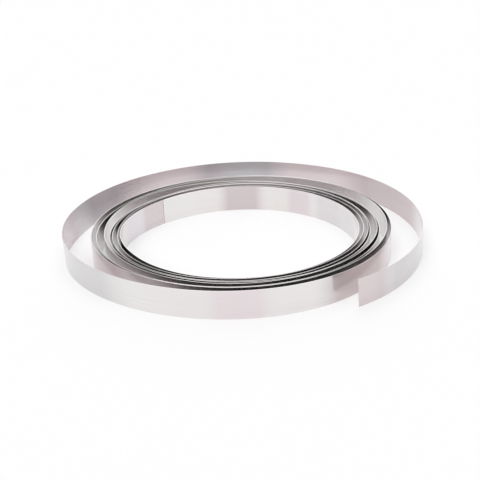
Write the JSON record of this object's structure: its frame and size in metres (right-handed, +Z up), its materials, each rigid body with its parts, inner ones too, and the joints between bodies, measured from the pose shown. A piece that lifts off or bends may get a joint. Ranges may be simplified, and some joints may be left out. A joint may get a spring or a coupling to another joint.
{
  "type": "nickel strip",
  "caption": "Thin bright nickel battery strip standing on edge, wound into a flat coil with a round bore; its outer end is sprung free as a wide loose turn with a square-cut end",
  "frame": {"origin": "centre of the bore, on the plane that the strip's lower edge stands on", "axes": "+Z up along the coil's axis; the loose outer turn's cut end lies to the front (-Y) and right (+X)"},
  "size_m": [0.1063, 0.1012, 0.008],
  "materials": {
    "nickel": "polished"
  },
  "bodies": {
    "root": {"nickel_strip": "nickel"}
  },
  "joints": []
}
